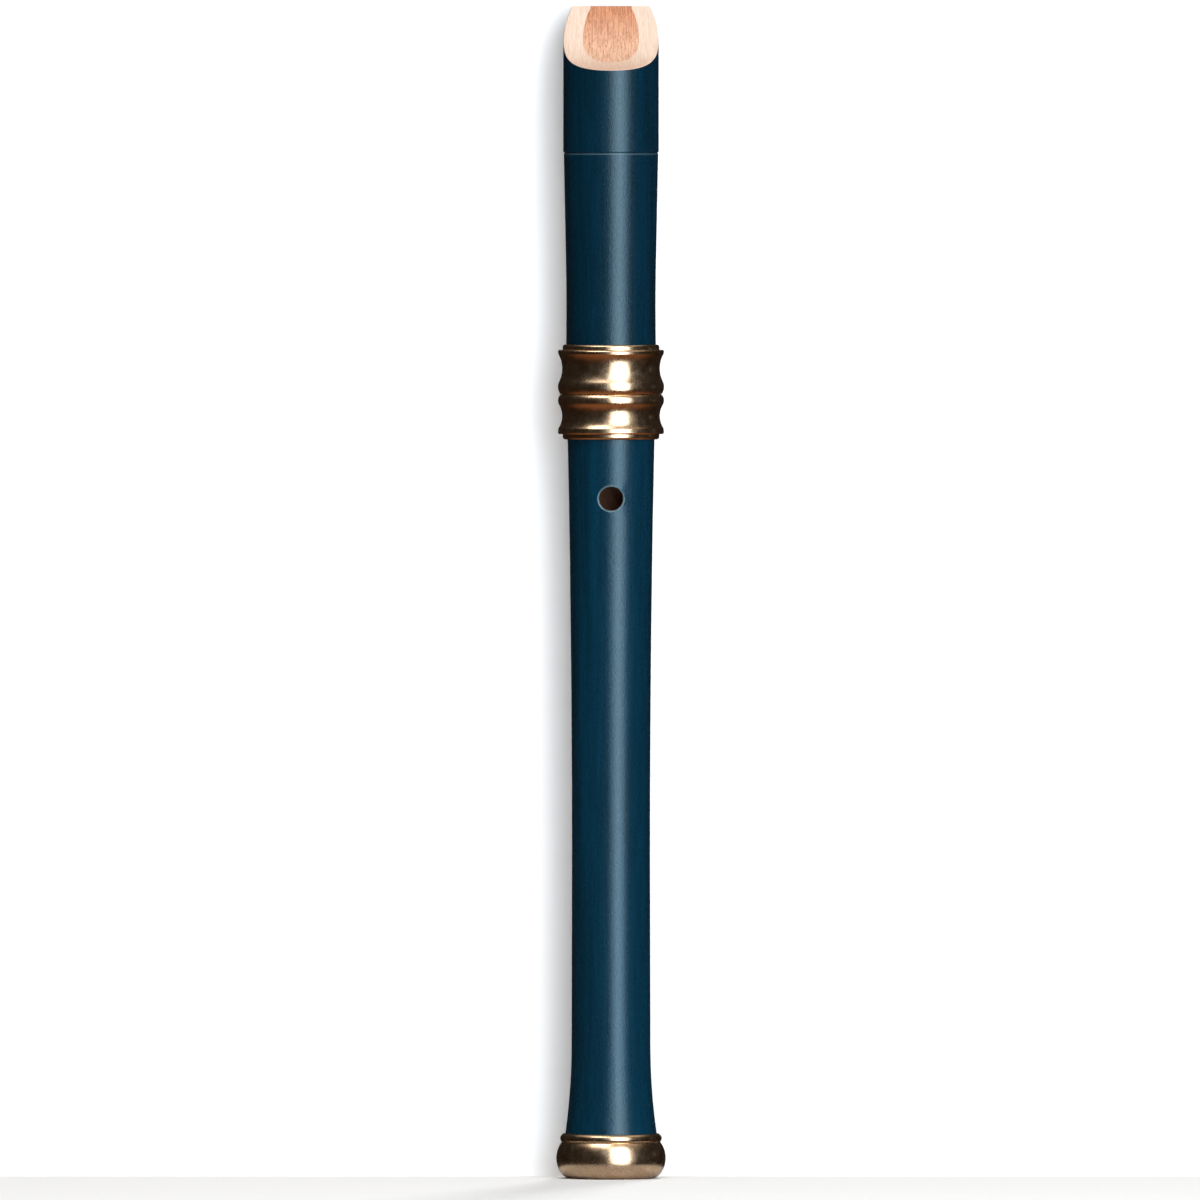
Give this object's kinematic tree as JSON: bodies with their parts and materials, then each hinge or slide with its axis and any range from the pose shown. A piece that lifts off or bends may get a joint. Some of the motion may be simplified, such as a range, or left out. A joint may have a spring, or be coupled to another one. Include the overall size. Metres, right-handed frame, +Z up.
{
  "type": "soprano recorder",
  "caption": "Wooden duct flute with a hollowed beak, plugging block, window, finger holes and brass ferrules; the head turns and slides on a cork-lapped tenon.",
  "frame": {"origin": "centre of the foot's end face, on the axis of the bore", "axes": "+Z runs up the bore from the foot to the beak; -Y is the thumb side, where the beak is cut away; +Y is the side with the window and finger holes; +X is the player's right"},
  "size_m": [0.0304, 0.0304, 0.325],
  "materials": {
    "stained_wood": "blue stain under satin oil; bare pale wood where the beak, windway and window are cut",
    "block_wood": "bare planed cedar",
    "brass": "polished, lathe-turned",
    "cork": "sanded cork"
  },
  "bodies": {
    "body": {"body_joint": "stained_wood", "body_ferrule": "brass", "foot_ring": "brass"},
    "cork": {"tenon_cork": "cork"},
    "head": {"head_joint": "stained_wood", "head_ferrule": "brass"},
    "block": {"block": "block_wood"}
  },
  "joints": [
    {"name": "head_turn", "type": "hinge", "parent": "body", "child": "cork", "pos_m": [0, 0, 0.22945], "axis": [0, 0, 1], "continuous": true},
    {"name": "head_slide", "type": "slide", "parent": "cork", "child": "head", "axis": [0, 0, 1], "range_m": [0, 0.03]},
    {"name": "block_slide", "type": "slide", "parent": "head", "child": "block", "axis": [0, 0, 1], "range_m": [0, 0.052]}
  ]
}
